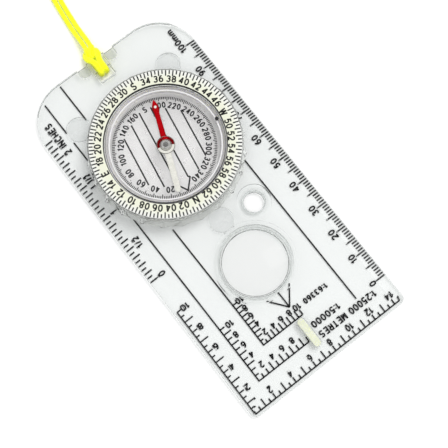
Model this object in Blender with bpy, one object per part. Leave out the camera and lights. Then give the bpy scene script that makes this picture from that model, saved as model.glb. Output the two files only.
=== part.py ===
"""Clear baseplate map compass: turning capsule, free needle, magnifier and neck lanyard.

Run it with blender --background --python part.py, or from Blender's text editor.
Lengths below are in millimetres and are scaled to metres as meshes are made. +Z is up, +Y is
the direction of travel, +X is the inch-scale edge. The origin is the middle of the
baseplate's footprint, on the surface that the feet stand on.
"""

import math

import bmesh
import bpy
from mathutils import Matrix, Vector

MM = 0.001
GAP = 0.3  # between pieces that touch on the real object

# Baseplate
PLATE_LENGTH = 125.0
PLATE_WIDTH = 61.0
FOOT_HEIGHT = 0.5
PLATE_THICK = 2.8
PLATE_BOTTOM = FOOT_HEIGHT
PLATE_TOP = PLATE_BOTTOM + PLATE_THICK
TRAVEL_CORNER = 2.0  # corner radius at the travel end
CORD_CORNER = 15.0  # corner radius at the lanyard end
SIDE_SLOPE = 3.8  # width of the sloped ruling edges along the sides
FRONT_SLOPE = 5.3  # and along the travel end
RIM_THICK = 1.4  # plate thickness left at a ruling edge

# Lanyard slot, its bar, and the scooped pockets beside it
SLOT_HALF = 2.9
SLOT_FRONT = -54.1
SLOT_BACK = -58.1
BAR_HALF = 3.2
BAR_BOTTOM = 1.75
BAR_TOP = 3.0
POCKET_X = 5.4
POCKET_HALF = 1.9
POCKET_FLOOR = 1.5
POCKET_END = -60.2  # centre of the pocket's round end

# Marking hole: a through hole in a stepped finger recess
HOLE_AT = (-12.0, 8.0)
HOLE_R = 3.3
HOLE_RECESS_R = 5.75

# Magnifier lens
LENS_AT = (0.0, 23.9)
LENS_SPIGOT_R = 10.6
LENS_FLANGE_R = 12.0
LENS_SAG = 1.7
LENS_DISH_R = 13.6

# Feet and luminous strip
FOOT_R = 3.9
FOOT_THICK = 0.8
FEET = {"foot_pad_left": (18.3, -46.1), "foot_pad_right": (-18.3, -46.1), "foot_pad_front": (0.0, 6.3)}
STRIP_AT = (0.4, 51.8)
STRIP_LENGTH = 10.3
STRIP_WIDTH = 2.4
STRIP_DEPTH = 0.6

# Capsule and bezel, which turn about the dial's centre
DIAL_AT = (0.0, -22.6)
DIAL_TURN = -11.0  # degrees from +Y to the dial's north mark, clockwise seen from above
COLLAR_R = 20.2
COLLAR_LIP_R = 21.0
COLLAR_BORE = 17.6
COLLAR_TOP = 6.1
CUP_R = 19.2
CUP_BOTTOM = 7.0
CUP_FLOOR = 8.2
CUP_RIM = 10.5
DOME_TOP = 12.3
BEZEL_INNER_R = 19.6
BEZEL_TOP_R = 24.9
BEZEL_FOOT_R = 26.0
BEZEL_TOP = 11.9
BEZEL_BOTTOM = 3.7
BAND_SEAT = 11.1
SCALLOPS = 24
SCALLOP_DEPTH = 0.55
PLUG_AT = 18.2  # radius of the filler plug's centre
PLUG_TURN = 90.0  # degrees from the dial's north mark towards its west mark

# Needle
NEEDLE_TURN = -202.2  # degrees from +Y to the red tip
NEEDLE_BOTTOM = 9.2
NEEDLE_THICK = 0.3
NORTH_REACH = 15.7
SOUTH_REACH = 15.9
HUB_R = 3.0
PIVOT_TIP = 9.7

# Lanyard: a cord folded in half, hitched round the bar, its ends knotted together
CORD_R = 0.8
HITCH_HALF = 2.6
HITCH_FRONT = -56.0
HITCH_BACK = -66.1
HITCH_BOTTOM = 0.05
HITCH_TOP = 4.8
STRAND_ROUTES = {
    "lanyard_strand_a": [
        (0.30, -66.4, 3.60), (0.00, -69.3, 3.00), (-0.25, -72.8, 1.70), (-0.50, -76.5, 0.95),
        (-0.95, -80.8, 0.85), (-1.35, -84.3, 0.85), (-1.80, -87.7, 0.85), (-2.40, -91.5, 0.85),
        (-2.85, -96.4, 0.85),
    ],
    "lanyard_strand_b": [
        (-1.60, -66.4, 3.60), (-1.90, -69.3, 3.00), (-2.15, -72.8, 1.70), (-2.40, -76.5, 0.95),
        (-2.85, -80.8, 0.85), (-3.25, -84.3, 0.85), (-3.70, -87.7, 0.98), (-3.90, -91.5, 2.00),
        (-2.95, -96.4, 2.80),
    ],
}
STRAND_STEP = 3.6  # spacing of the tube's points
COIL_AT = (-14.4, -104.0)
COIL_INNER_R = 5.5
COIL_OUTER_R = 12.6
COIL_HEIGHT = 6.6
TIE_TURN = 215.0  # degrees round the coil from +X
TIE_WIDTH = 2.6
TIE_THICK = 0.5
KNOT_AT = (-27.7, -95.6)
KNOT_RADII = (2.7, 3.4, 2.5)


def clear_scene():
    for obj in list(bpy.data.objects):
        bpy.data.objects.remove(obj, do_unlink=True)


def material(name, colour, roughness=0.4, metallic=0.0, transmission=0.0):
    made = bpy.data.materials.new(name)
    made.use_nodes = True
    shader = made.node_tree.nodes["Principled BSDF"]
    shader.inputs["Base Color"].default_value = (*colour, 1.0)
    shader.inputs["Roughness"].default_value = roughness
    shader.inputs["Metallic"].default_value = metallic
    shader.inputs["Transmission Weight"].default_value = transmission
    return made


def add_object(name, mesh_builder, finish=None):
    """Links a new object made from a bmesh in millimetres, with outward faces."""
    bmesh.ops.recalc_face_normals(mesh_builder, faces=mesh_builder.faces)
    bmesh.ops.scale(mesh_builder, vec=(MM, MM, MM), verts=mesh_builder.verts)
    mesh = bpy.data.meshes.new(name)
    mesh_builder.to_mesh(mesh)
    mesh_builder.free()
    obj = bpy.data.objects.new(name, mesh)
    bpy.context.scene.collection.objects.link(obj)
    if finish is not None:
        mesh.materials.append(finish)
    return obj


def shade_round(obj, degrees=35.0):
    obj.data.shade_smooth()
    obj.data.set_sharp_from_angle(angle=math.radians(degrees))
    return obj


def place(obj, at, degrees=0.0, height=0.0):
    """Puts an object's origin on a vertical axis, turned about it."""
    obj.location = Vector((at[0], at[1], height)) * MM
    obj.rotation_euler = (0.0, 0.0, math.radians(degrees))
    return obj


def axis_empty(name, at, degrees=0.0):
    empty = bpy.data.objects.new(name, None)
    empty.empty_display_size = 5 * MM
    bpy.context.scene.collection.objects.link(empty)
    return place(empty, at, degrees)


def adopt(parent, children):
    """Parents objects that are already placed relative to their parent."""
    for child in children:
        child.parent = parent


def cut(body, cutter):
    """Takes the cutter out of the body with an exact Boolean."""
    cutter.hide_render = True
    cutter.display_type = "WIRE"
    step = body.modifiers.new("cut_" + cutter.name, "BOOLEAN")
    step.operation = "DIFFERENCE"
    step.solver = "EXACT"
    step.object = cutter


def join(body, addition):
    """Joins a helper solid to the body with an exact Boolean."""
    addition.hide_render = True
    addition.display_type = "WIRE"
    step = body.modifiers.new("join_" + addition.name, "BOOLEAN")
    step.operation = "UNION"
    step.solver = "EXACT"
    step.object = addition


def turned(name, profile, segments, finish=None, sweep=360.0, radius_at=None):
    """Turns a closed (radius, height) profile about Z. A sweep under 360 gets flat ends."""
    full = sweep >= 360.0
    builder = bmesh.new()
    count = segments if full else segments + 1
    rings = []
    axis_points = {i: builder.verts.new((0, 0, z)) for i, (r, z) in enumerate(profile) if r == 0}
    for k in range(count):
        angle = math.radians(sweep) * k / segments
        ring = []
        for i, (r, z) in enumerate(profile):
            reach = r if radius_at is None else radius_at(r, z, angle)
            spot = (reach * math.cos(angle), reach * math.sin(angle), z)
            ring.append(axis_points[i] if i in axis_points else builder.verts.new(spot))
        rings.append(ring)
    for k in range(segments):
        here, there = rings[k], rings[(k + 1) % count]
        for i in range(len(profile)):
            j = (i + 1) % len(profile)
            corners = [here[i], here[j], there[j], there[i]]
            corners = list(dict.fromkeys(corners))
            if len(corners) > 2:
                builder.faces.new(corners)
    if not full:
        builder.faces.new(rings[0])
        builder.faces.new(rings[-1])
    return shade_round(add_object(name, builder, finish))


def arc(centre, radius, start, end, steps):
    """Points along an arc, in degrees, both ends included."""
    points = []
    for k in range(steps + 1):
        a = math.radians(start + (end - start) * k / steps)
        points.append((centre[0] + radius * math.cos(a), centre[1] + radius * math.sin(a)))
    return points


def prism_mesh(outline, bottom, top):
    builder = bmesh.new()
    floor = builder.faces.new([builder.verts.new((x, y, bottom)) for x, y in outline])
    raised = bmesh.ops.extrude_face_region(builder, geom=[floor])
    lifted = [v for v in raised["geom"] if isinstance(v, bmesh.types.BMVert)]
    bmesh.ops.translate(builder, vec=(0, 0, top - bottom), verts=lifted)
    return builder


def prism(name, outline, bottom, top, finish=None):
    return add_object(name, prism_mesh(outline, bottom, top), finish)


def block(name, low, high, finish=None):
    outline = [(low[0], low[1]), (high[0], low[1]), (high[0], high[1]), (low[0], high[1])]
    return prism(name, outline, low[2], high[2], finish)


def plate_outline():
    """Square-ish corners at the travel end, large round ones at the lanyard end."""
    x, y = PLATE_WIDTH / 2, PLATE_LENGTH / 2
    near, far = TRAVEL_CORNER, CORD_CORNER
    return (
        arc((x - near, y - near), near, 0, 90, 3)
        + arc((-x + near, y - near), near, 90, 180, 3)
        + arc((-x + far, -y + far), far, 180, 270, 10)
        + arc((x - far, -y + far), far, 270, 360, 10)
    )


def slice_edge(builder, point, normal):
    """Cuts away what lies past a plane and closes the cut."""
    everything = builder.verts[:] + builder.edges[:] + builder.faces[:]
    result = bmesh.ops.bisect_plane(
        builder, geom=everything, plane_co=point, plane_no=normal, clear_outer=True, dist=1e-5
    )
    rim = [e for e in result["geom_cut"] if isinstance(e, bmesh.types.BMEdge)]
    bmesh.ops.contextual_create(builder, geom=rim)


def bevelled_plate(finish):
    """The plate's slab, with its three ruling edges sloped down to a thin rim."""
    builder = prism_mesh(plate_outline(), PLATE_BOTTOM, PLATE_TOP)
    x, y = PLATE_WIDTH / 2, PLATE_LENGTH / 2
    drop = PLATE_THICK - RIM_THICK
    for side in (1, -1):
        inner = (side * (x - SIDE_SLOPE), 0, PLATE_TOP)
        slice_edge(builder, inner, (side * drop, 0, SIDE_SLOPE))
    slice_edge(builder, (0, y - FRONT_SLOPE, PLATE_TOP), (0, drop, FRONT_SLOPE))
    return add_object("baseplate", builder, finish)


def rounded_box_outline(low, high, radius):
    return (
        arc((high[0] - radius, high[1] - radius), radius, 0, 90, 2)
        + arc((low[0] + radius, high[1] - radius), radius, 90, 180, 2)
        + arc((low[0] + radius, low[1] + radius), radius, 180, 270, 2)
        + arc((high[0] - radius, low[1] + radius), radius, 270, 360, 2)
    )


def cut_lanyard_end(plate):
    """The slot, the thinned bar behind it, and a scooped pocket on each side."""
    end = -PLATE_LENGTH / 2 - 1.0
    slot = rounded_box_outline((-SLOT_HALF, SLOT_BACK), (SLOT_HALF, SLOT_FRONT), 0.5)
    cut(plate, prism("slot_cutter", slot, PLATE_BOTTOM - 1, PLATE_TOP + 1))
    deep = SLOT_BACK + 0.6
    cut(plate, block("bar_under_cutter", (-BAR_HALF, end, -1), (BAR_HALF, deep, BAR_BOTTOM)))
    cut(plate, block("bar_over_cutter", (-BAR_HALF, end, BAR_TOP), (BAR_HALF, deep, PLATE_TOP + 1)))
    for side, name in ((1, "left"), (-1, "right")):
        x = side * POCKET_X
        shape = [(x - POCKET_HALF, end), (x + POCKET_HALF, end)]
        shape += arc((x, POCKET_END), POCKET_HALF, 0, 180, 8)
        cut(plate, prism(f"pocket_{name}_cutter", shape, POCKET_FLOOR, PLATE_TOP + 1))


def cut_seats(plate):
    """The lens seat, the marking hole in its finger recess, and the strip's and feet's recesses."""
    over, under = PLATE_TOP + 1, PLATE_BOTTOM - 1
    seat = LENS_FLANGE_R + GAP
    lens_profile = [
        (0, under), (LENS_SPIGOT_R + GAP, under), (LENS_SPIGOT_R + GAP, 1.7), (seat, 1.7),
        (seat, PLATE_TOP - 0.4), (LENS_DISH_R, PLATE_TOP - 0.4), (LENS_DISH_R, over), (0, over),
    ]
    cut(plate, place(turned("lens_cutter", lens_profile, 48), LENS_AT))
    hole_profile = [
        (0, under), (HOLE_R, under), (HOLE_R, 1.5), (HOLE_R + 0.6, 2.5), (HOLE_RECESS_R - 0.2, 2.6),
        (HOLE_RECESS_R, over), (0, over),
    ]
    cut(plate, place(turned("hole_cutter", hole_profile, 32), HOLE_AT))
    margin = 0.25
    low = (STRIP_AT[0] - STRIP_WIDTH / 2 - margin, STRIP_AT[1] - STRIP_LENGTH / 2 - margin)
    high = (STRIP_AT[0] + STRIP_WIDTH / 2 + margin, STRIP_AT[1] + STRIP_LENGTH / 2 + margin)
    recess = rounded_box_outline(low, high, STRIP_WIDTH / 2)
    cut(plate, prism("strip_cutter", recess, PLATE_TOP - STRIP_DEPTH - GAP, PLATE_TOP + 1))
    for name, at in FEET.items():
        pad = [(0, under), (FOOT_R + GAP, under), (FOOT_R + GAP, FOOT_THICK + GAP), (0, FOOT_THICK + GAP)]
        cut(plate, place(turned(name + "_cutter", pad, 32), at))


def add_collar(plate):
    """The raised collar with an outward lip that holds the bezel down."""
    lip = 5.4
    profile = [
        (COLLAR_BORE, PLATE_TOP - 0.5), (COLLAR_R, PLATE_TOP - 0.5), (COLLAR_R, lip),
        (COLLAR_LIP_R, lip), (COLLAR_LIP_R, COLLAR_TOP), (COLLAR_BORE, COLLAR_TOP),
    ]
    join(plate, place(turned("collar_helper", profile, 48), DIAL_AT))


def make_baseplate(clear):
    plate = bevelled_plate(clear)
    add_collar(plate)
    cut_seats(plate)
    cut_lanyard_end(plate)
    return plate


def make_lens(clear):
    """A flat-bottomed lens with a mounting flange and a domed top."""
    flange_bottom, flange_top = 2.0, 2.9
    dome_r = LENS_SPIGOT_R + 0.6
    profile = [(0, 0.9), (LENS_SPIGOT_R, 0.9), (LENS_SPIGOT_R, flange_bottom)]
    profile += [(LENS_FLANGE_R, flange_bottom), (LENS_FLANGE_R, flange_top)]
    steps = 6
    for k in range(steps + 1):
        r = dome_r * (1 - k / steps)
        profile.append((r, 3.2 + LENS_SAG * (1 - (r / dome_r) ** 2)))
    return place(turned("magnifier_lens", profile, 48, clear), LENS_AT)


def make_feet(silicone):
    for name, at in FEET.items():
        profile = [(0, 0), (FOOT_R - 0.15, 0), (FOOT_R, 0.15), (FOOT_R, FOOT_THICK), (0, FOOT_THICK)]
        place(turned(name, profile, 32, silicone), at)


def make_strip(luminous):
    half_x, half_y = STRIP_WIDTH / 2, STRIP_LENGTH / 2
    low = (STRIP_AT[0] - half_x, STRIP_AT[1] - half_y)
    high = (STRIP_AT[0] + half_x, STRIP_AT[1] + half_y)
    outline = rounded_box_outline(low, high, half_x - 0.1)
    prism("luminous_strip", outline, PLATE_TOP - STRIP_DEPTH, PLATE_TOP, luminous)


def make_washer(nylon):
    bottom = COLLAR_TOP + GAP
    profile = [(COLLAR_BORE + 0.3, bottom), (20.6, bottom), (20.6, 6.7), (COLLAR_BORE + 0.3, 6.7)]
    return place(turned("friction_washer", profile, 48, nylon), DIAL_AT)


def scalloped(radius, height, angle):
    """Hollow finger flutes with sharp ridges between them, round the outer wall only."""
    if radius < BEZEL_TOP_R:
        return radius
    fade = min(1.0, (BEZEL_TOP - height) / 2.5)
    return radius - SCALLOP_DEPTH * fade * abs(math.sin(SCALLOPS * angle / 2))


def make_bezel(clear):
    """Outer skirt with finger flutes, inner wall that hugs the cup, and a snap-ring groove."""
    inner_skirt = 22.9
    profile = [
        (BEZEL_INNER_R, BAND_SEAT), (24.6, BAND_SEAT), (24.7, BEZEL_TOP), (BEZEL_TOP_R, BEZEL_TOP - 0.1),
        (25.3, 9.0), (BEZEL_FOOT_R, 4.5), (BEZEL_FOOT_R - 0.15, BEZEL_BOTTOM), (24.6, BEZEL_BOTTOM),
        (23.9, 10.0), (inner_skirt, 10.0), (inner_skirt, BEZEL_BOTTOM), (21.3, BEZEL_BOTTOM),
        (21.3, 4.2), (22.2, 4.2), (22.2, 5.3), (21.4, 5.3), (21.4, CUP_BOTTOM),
        (BEZEL_INNER_R, CUP_BOTTOM),
    ]
    return turned("bezel_ring", profile, SCALLOPS * 4, clear, radius_at=scalloped)


def make_band(luminous):
    bottom = BAND_SEAT + GAP
    profile = [(19.7, bottom), (24.35, bottom), (24.35, BEZEL_TOP), (19.7, BEZEL_TOP - 0.1)]
    return turned("luminous_band", profile, 72, luminous)


def make_retaining_ring(steel):
    profile = [(20.5, 4.5), (21.9, 4.5), (21.9, 5.0), (20.5, 5.0)]
    ring = turned("retaining_ring", profile, 46, steel, sweep=344.0)
    ring.rotation_euler = (0, 0, math.radians(98.0))
    return ring


def make_cup(clear):
    """The capsule's cup, with a pivot boss in its floor and a step for the seal."""
    profile = [
        (0, CUP_BOTTOM), (CUP_R, CUP_BOTTOM), (CUP_R, CUP_RIM), (18.5, CUP_RIM), (18.5, 9.5),
        (17.9, 9.5), (17.9, CUP_FLOOR), (1.8, CUP_FLOOR), (1.5, 8.75), (0.8, 8.75), (0.8, 7.6), (0, 7.6),
    ]
    return turned("capsule_body", profile, 60, clear)


def make_dome(clear):
    """The top window: a shallow dome whose flat rim covers the cup's seal step."""
    profile = [
        (0, 11.2), (16.5, 10.8), (CUP_R, 10.8), (CUP_R, 11.2),
        (18.7, 11.5), (17.0, 11.8), (10.0, 12.15), (0, DOME_TOP),
    ]
    dome = turned("capsule_dome", profile, 60, clear)
    hole = turned("filler_hole_cutter", [(0, 10), (0.75, 10), (0.75, 12.5), (0, 12.5)], 16)
    hole.location = plug_spot(0)
    hole.hide_set(False)
    cut(dome, hole)
    return dome, hole


def plug_spot(height):
    """The filler plug's place, relative to the dial's centre and north mark."""
    a = math.radians(90.0 + PLUG_TURN)
    return Vector((PLUG_AT * math.cos(a), PLUG_AT * math.sin(a), height)) * MM


def make_plug(rubber):
    plug = turned("filler_plug", [(0, 10.9), (0.5, 10.9), (0.5, 11.7), (0.35, 11.8), (0, 11.8)], 16, rubber)
    plug.location = plug_spot(0)
    return plug


def make_seal(rubber):
    """A round ring in the cup's step, under the dome's rim."""
    centre_r, centre_z, minor = 17.95, 10.15, 0.3
    profile = []
    for k in range(8):
        a = -math.tau * k / 8
        profile.append((centre_r + minor * math.cos(a), centre_z + minor * math.sin(a)))
    return turned("capsule_seal", profile, 48, rubber)


def make_pivot(steel):
    return turned("pivot_post", [(0, 7.9), (0.5, 7.9), (0.5, 8.9), (0, PIVOT_TIP)], 16, steel)


def needle_outline():
    """One steel strip: a pointed north arm, a round hub and a round-ended south arm."""
    arm = 0.85
    join_x = math.sqrt(HUB_R**2 - arm**2)
    hub_angle = math.degrees(math.atan2(join_x, arm))
    north = [(arm, 11.2), (1.1, 12.6), (0, NORTH_REACH), (-1.1, 12.6), (-arm, 11.2)]
    left = arc((0, 0), HUB_R, 180 - hub_angle, 180 + hub_angle, 10)
    south_arm = 0.95
    south = arc((0, -SOUTH_REACH + south_arm), south_arm, 180, 360, 6)
    right = arc((0, 0), HUB_R, -hub_angle, hub_angle, 10)
    return north + left + south + right


def make_needle(enamel):
    top = NEEDLE_BOTTOM + NEEDLE_THICK
    blade = prism("needle_blade", needle_outline(), NEEDLE_BOTTOM, top, enamel)
    bore = turned("needle_bore_cutter", [(0, 8), (1.0, 8), (1.0, 11), (0, 11)], 20)
    cut(blade, bore)
    return blade, bore


def make_hub_cap(metal):
    bottom, ceiling, top = 9.8, 10.5, 10.85
    profile = [(0, ceiling), (0.8, ceiling), (0.8, bottom), (1.7, bottom), (1.65, 10.15)]
    profile += [(1.35, 10.5), (0.8, 10.75), (0, top)]
    return turned("hub_cap", profile, 24, metal)


def make_jewel(sapphire):
    return turned("jewel_bearing", [(0, 10.0), (0.5, 10.0), (0.5, 10.25), (0, 10.25)], 16, sapphire)


def smooth_route(route, step):
    """Points about a step apart along a Catmull-Rom curve through the route's points."""
    points = [Vector(p) for p in route]
    padded = [2 * points[0] - points[1]] + points + [2 * points[-1] - points[-2]]
    fine = []
    for a, b, c, d in zip(padded, padded[1:], padded[2:], padded[3:]):
        for k in range(12):
            t = k / 12
            fine.append(
                0.5 * (2 * b + (c - a) * t + (2 * a - 5 * b + 4 * c - d) * t**2 + (3 * b - a - 3 * c + d) * t**3)
            )
    fine.append(points[-1])
    spans = [(q - p).length for p, q in zip(fine, fine[1:])]
    pieces = max(2, round(sum(spans) / step))
    made, walked, target = [fine[0]], 0.0, sum(spans) / pieces
    for p, q, span in zip(fine, fine[1:], spans):
        while walked + span >= target * len(made) and len(made) < pieces:
            made.append(p.lerp(q, (target * len(made) - walked) / span))
        walked += span
    return made + [fine[-1]]


def make_strand(name, route, cord):
    curve = bpy.data.curves.new(name, "CURVE")
    curve.dimensions = "3D"
    curve.bevel_depth = CORD_R * MM
    curve.bevel_resolution = 2
    curve.use_fill_caps = True
    spline = curve.splines.new("POLY")
    points = smooth_route(route, STRAND_STEP)
    spline.points.add(len(points) - 1)
    for place_in_line, point in zip(spline.points, points):
        place_in_line.co = (*(point * MM), 1.0)
    curve.materials.append(cord)
    obj = bpy.data.objects.new(name, curve)
    bpy.context.scene.collection.objects.link(obj)
    return obj


def make_hitch(cord):
    """The plain outer shape of the hitch: a closed band round the slot's bar."""
    low, high = (HITCH_BACK, HITCH_BOTTOM), (HITCH_FRONT, HITCH_TOP)
    shape = rounded_box_outline(low, high, 1.0)
    builder = prism_mesh(shape, -HITCH_HALF, HITCH_HALF)
    to_yz = Matrix(((0, 0, 1), (1, 0, 0), (0, 1, 0))).to_4x4()
    bmesh.ops.transform(builder, matrix=to_yz, verts=builder.verts)
    hitch = add_object("lanyard_hitch", builder, cord)
    edge = -PLATE_LENGTH / 2 - GAP
    low = (-HITCH_HALF - 1, edge, BAR_BOTTOM - GAP)
    high = (HITCH_HALF + 1, SLOT_BACK + GAP, BAR_TOP + GAP)
    cut(hitch, block("bar_clearance_cutter", low, high))


def make_coil(cord, wire):
    """The wound cord's outer shape, necked where the tie holds it, and the tie."""
    inner, outer = COIL_INNER_R, COIL_OUTER_R
    low, high, soft = 0.05, COIL_HEIGHT, 1.2
    profile = [
        (inner, high - soft), (inner, low + soft), (inner + soft, low), (outer - soft, low),
        (outer, low + soft), (outer, high - soft), (outer - soft, high), (inner + soft, high),
    ]
    coil = place(turned("lanyard_coil", profile, 40, cord), COIL_AT)
    neck = TIE_THICK + GAP + 0.1
    band_hole = ((inner + neck, low + neck), (outer - neck, high - neck))
    cut(coil, tie_band("coil_neck_cutter", band_hole, neck + 0.6, TIE_WIDTH + 2 * GAP, None))
    tie_hole = ((inner + 0.1 + TIE_THICK, low + TIE_THICK), (outer - 0.1 - TIE_THICK, high - TIE_THICK))
    tie_band("coil_tie", tie_hole, TIE_THICK, TIE_WIDTH, wire)


def tie_band(name, hole, thick, width, finish):
    """A closed flat band round the coil's cross-section, at the tie's place."""
    (r0, z0), (r1, z1) = hole
    rim = [(r0, z0), (r1, z0), (r1, z1), (r0, z1)]
    grow = [(-thick, -thick), (thick, -thick), (thick, thick), (-thick, thick)]
    builder = bmesh.new()
    loops = []
    for side in (-width / 2, width / 2):
        inner = [builder.verts.new((r, side, z)) for r, z in rim]
        outer = [builder.verts.new((r + dr, side, z + dz)) for (r, z), (dr, dz) in zip(rim, grow)]
        loops.append((inner, outer))
    (near_in, near_out), (far_in, far_out) = loops
    for i in range(4):
        j = (i + 1) % 4
        builder.faces.new((near_in[i], near_in[j], near_out[j], near_out[i]))
        builder.faces.new((far_in[i], far_in[j], far_out[j], far_out[i]))
        builder.faces.new((near_in[i], near_in[j], far_in[j], far_in[i]))
        builder.faces.new((near_out[i], near_out[j], far_out[j], far_out[i]))
    return place(add_object(name, builder, finish), COIL_AT, TIE_TURN)


def make_end_knot(cord):
    builder = bmesh.new()
    bmesh.ops.create_uvsphere(builder, u_segments=14, v_segments=8, radius=1.0)
    bmesh.ops.scale(builder, vec=KNOT_RADII, verts=builder.verts)
    knot = shade_round(add_object("lanyard_end_knot", builder, cord), 80)
    place(knot, KNOT_AT, 20.0, KNOT_RADII[2] + 0.05)


def build():
    clear_scene()
    clear = material("clear_acrylic", (0.95, 0.97, 0.96), 0.05, transmission=1.0)
    silicone = material("clear_silicone", (0.90, 0.92, 0.92), 0.35, transmission=0.8)
    luminous = material("luminous_plastic", (0.90, 0.93, 0.74), 0.5)
    nylon = material("white_nylon", (0.88, 0.88, 0.86), 0.5)
    steel = material("spring_steel", (0.62, 0.62, 0.63), 0.3, metallic=1.0)
    rubber = material("black_rubber", (0.02, 0.02, 0.02), 0.6)
    seal = material("seal_rubber", (0.75, 0.77, 0.76), 0.5)
    enamel = material("needle_enamel", (0.62, 0.02, 0.03), 0.3)
    jewel = material("sapphire", (0.75, 0.80, 0.90), 0.05, transmission=0.7)
    cord = material("lanyard_cord", (0.90, 0.95, 0.03), 0.8)
    wire = material("tie_wire", (0.03, 0.03, 0.03), 0.5)

    make_baseplate(clear)
    make_lens(clear)
    make_feet(silicone)
    make_strip(luminous)
    make_washer(nylon)

    dome, filler_hole = make_dome(clear)
    dial = axis_empty("dial_axis", DIAL_AT, DIAL_TURN)
    adopt(dial, [make_bezel(clear), make_band(luminous), make_retaining_ring(steel)])
    adopt(dial, [make_cup(clear), dome, filler_hole, make_seal(seal)])
    adopt(dial, [make_plug(rubber), make_pivot(steel)])

    blade, bore = make_needle(enamel)
    needle = axis_empty("needle_axis", DIAL_AT, NEEDLE_TURN)
    adopt(needle, [blade, bore, make_hub_cap(steel), make_jewel(jewel)])

    make_hitch(cord)
    for name, route in STRAND_ROUTES.items():
        make_strand(name, route, cord)
    make_coil(cord, wire)
    make_end_knot(cord)


build()
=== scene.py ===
"""Looks of the clear baseplate map compass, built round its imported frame.

Lengths are in millimetres and are scaled to metres as meshes are made. The axes are the frame's:
+Z up, +Y the direction of travel, +X the inch-scale edge, origin under the baseplate's middle.
"""

import math

import bmesh
import bpy
from mathutils import Matrix, Vector


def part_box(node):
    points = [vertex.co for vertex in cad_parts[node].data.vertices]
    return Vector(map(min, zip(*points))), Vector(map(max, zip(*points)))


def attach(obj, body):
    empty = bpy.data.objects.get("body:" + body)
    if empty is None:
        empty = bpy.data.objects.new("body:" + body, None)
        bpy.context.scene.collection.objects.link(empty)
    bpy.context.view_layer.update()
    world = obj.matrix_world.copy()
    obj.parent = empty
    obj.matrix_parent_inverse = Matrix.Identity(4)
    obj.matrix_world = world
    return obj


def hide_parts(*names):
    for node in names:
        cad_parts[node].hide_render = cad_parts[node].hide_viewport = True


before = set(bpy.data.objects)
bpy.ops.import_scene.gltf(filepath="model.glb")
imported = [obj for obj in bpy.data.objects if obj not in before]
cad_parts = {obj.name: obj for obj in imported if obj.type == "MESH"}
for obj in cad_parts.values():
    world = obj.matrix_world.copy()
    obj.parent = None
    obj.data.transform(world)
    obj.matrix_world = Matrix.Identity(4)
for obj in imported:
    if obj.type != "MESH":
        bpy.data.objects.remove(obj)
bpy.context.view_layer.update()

MM = 0.001


def node_box(name):
    """A CAD node's lowest and highest corners, in millimetres."""
    low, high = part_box(name)
    return low / MM, high / MM


def node_middle(name):
    low, high = node_box(name)
    return (low + high) / 2


# Baseplate
PLATE_LOW, PLATE_HIGH = node_box("baseplate")
PLATE_X = PLATE_HIGH.x  # half width
PLATE_Y = PLATE_HIGH.y  # half length
PLATE_BOTTOM = PLATE_LOW.z
PLATE_TOP = PLATE_BOTTOM + 2.8
TRAVEL_CORNER = 2.0
CORD_CORNER = 15.0
SIDE_SLOPE = 3.8
FRONT_SLOPE = 5.3
RIM_THICK = 1.4
SLOT_HALF = 2.9
SLOT_FRONT = -54.1
SLOT_BACK = -58.1
BAR_HALF = 3.2
BAR_BOTTOM = 1.75
BAR_TOP = 3.0
POCKET_X = 5.4
POCKET_HALF = 1.9
POCKET_FLOOR = 1.5
POCKET_END = -60.2
HOLE_AT = (-12.0, 8.0)
HOLE_R = 3.3
HOLE_RECESS_R = 5.75
LENS_AT = node_middle("magnifier_lens").xy
LENS_FLANGE_R = (node_box("magnifier_lens")[1].x - node_box("magnifier_lens")[0].x) / 2
LENS_SPIGOT_R = 10.6
LENS_SAG = 1.7
LENS_SHOULDER = 3.2
LENS_DISH_R = 13.6
FEET = ("foot_pad_left", "foot_pad_right", "foot_pad_front")
FOOT_R = 3.9
FOOT_THICK = node_box("foot_pad_left")[1].z
GAP = 0.3

# Capsule and bezel
DIAL_AT = node_middle("capsule_body").xy
DIAL_TURN = -11.0  # degrees from +Y to the dial's north mark
MIL_TURN = -9.2  # the same for the mil ring, which is printed on the band
FLOOR_TURN = -9.6  # and for the print on the capsule's floor
DIAL_PRINT_SHIFT = (0.5, 0.15)
COLLAR_BORE = 17.6
COLLAR_R = 20.2
COLLAR_LIP_R = 21.0
COLLAR_TOP = PLATE_HIGH.z
CUP_R = 19.2
CUP_BOTTOM, CUP_RIM = (corner.z for corner in node_box("capsule_body"))
CUP_FLOOR = 8.2
# Over this height the cup's wall under the dome is painted dark: a painted shadow for the shade in the gap
# round the cup.
RIM_SHADOW = 1.2  # how far down the gap round the cup is dark
DOME_TOP = node_box("capsule_dome")[1].z
BEZEL_INNER_R = 19.6
BEZEL_TOP_R = 24.9
BEZEL_FOOT_R = 26.0
BEZEL_BOTTOM, BEZEL_TOP = (corner.z for corner in node_box("bezel_ring"))
BAND_SEAT = 11.1
BAND_INNER_R = 19.8
BAND_OUTER_R = 24.38
BAND_TOP = BEZEL_TOP - 0.05
SCALLOPS = 24
SCALLOP_DEPTH = 0.55

# Needle
NEEDLE_TURN = -202.2
BLADE_BOTTOM, BLADE_TOP = (corner.z for corner in node_box("needle_blade"))
NORTH_REACH = 15.7
SOUTH_REACH = 15.9
HUB_R = 3.0

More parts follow.
